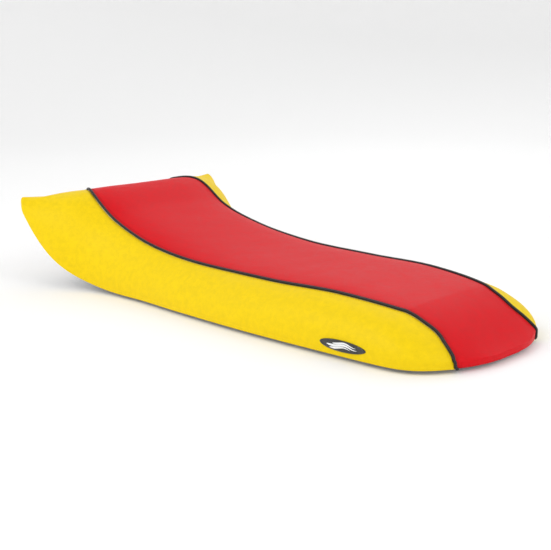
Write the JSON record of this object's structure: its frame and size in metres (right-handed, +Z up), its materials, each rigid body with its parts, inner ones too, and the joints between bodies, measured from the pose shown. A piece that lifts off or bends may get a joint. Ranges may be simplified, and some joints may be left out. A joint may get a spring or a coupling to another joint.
{
  "type": "personal watercraft seat",
  "caption": "Long straddle seat with a kicked-up tail and a rounded nose: piped three-panel cover over foam on a moulded pan, with a front tongue and a rear latch under it.",
  "frame": {"origin": "on the deck plane that the rubber pads stand on, under the centre of the seat's outline", "axes": "+X forward to the nose, +Y to the rider's left, +Z up"},
  "size_m": [1, 0.5246, 0.1914],
  "materials": {
    "pan_plastic": "moulded, fine grain",
    "foam": "open-cell foam",
    "red_vinyl": "marine vinyl, fine grain",
    "yellow_vinyl": "marine vinyl, fine grain",
    "black_piping": "satin",
    "badge_black": "gloss",
    "badge_white": "gloss",
    "facing_vinyl": "matt back of the vinyl",
    "stainless": "bright stainless steel",
    "bracket_steel": "zinc-plated sheet",
    "hook_steel": "blanked plate",
    "spring_steel": "spring wire",
    "rubber_black": "matt",
    "grip_plastic": "moulded"
  },
  "bodies": {
    "seat": {"base_pan": "pan_plastic", "foam_cushion": "foam", "centre_panel": "red_vinyl", "left_side_panel": "yellow_vinyl", "right_side_panel": "yellow_vinyl", "left_piping": "black_piping", "right_piping": "black_piping", "side_badge": "badge_black", "badge_waves": "badge_white", "hem_facing": "facing_vinyl", "staples": "stainless", "deck_pads": "rubber_black", "drain_grommets": "rubber_black", "front_tongue": "bracket_steel", "tongue_screws": "stainless", "latch_bracket": "bracket_steel", "latch_screws": "stainless", "hook_pin": "stainless", "lever_pin": "stainless", "lever_bracket": "bracket_steel", "lever_screws": "stainless", "return_spring": "spring_steel"},
    "lever": {"release_lever": "hook_steel", "lever_grip": "grip_plastic", "rod_pin_rear": "stainless"},
    "rod": {"pull_rod": "bracket_steel"},
    "hook": {"striker_hook": "hook_steel", "rod_pin_front": "stainless"}
  },
  "joints": [
    {"name": "lever_pull", "type": "hinge", "parent": "seat", "child": "lever", "pos_m": [-0.347, 0, 0.031], "axis": [0, 1, 0], "range_deg": [0, 20], "stiffness_Nm_per_rad": 0.6, "springref_deg": -20.05, "deforming": ["return_spring"]},
    {"name": "rod_swing", "type": "hinge", "parent": "lever", "child": "rod", "pos_m": [-0.357, 0, 0.017], "axis": [0, 1, 0], "range_deg": [-20, 0]},
    {"name": "hook_swing", "type": "hinge", "parent": "seat", "child": "hook", "pos_m": [-0.269, 0, 0.031], "axis": [0, 1, 0], "range_deg": [0, 20]}
  ],
  "couplings": [
    {"joint": "rod_swing", "follows": "lever_pull", "ratio": -1},
    {"joint": "hook_swing", "follows": "lever_pull", "ratio": 1}
  ]
}
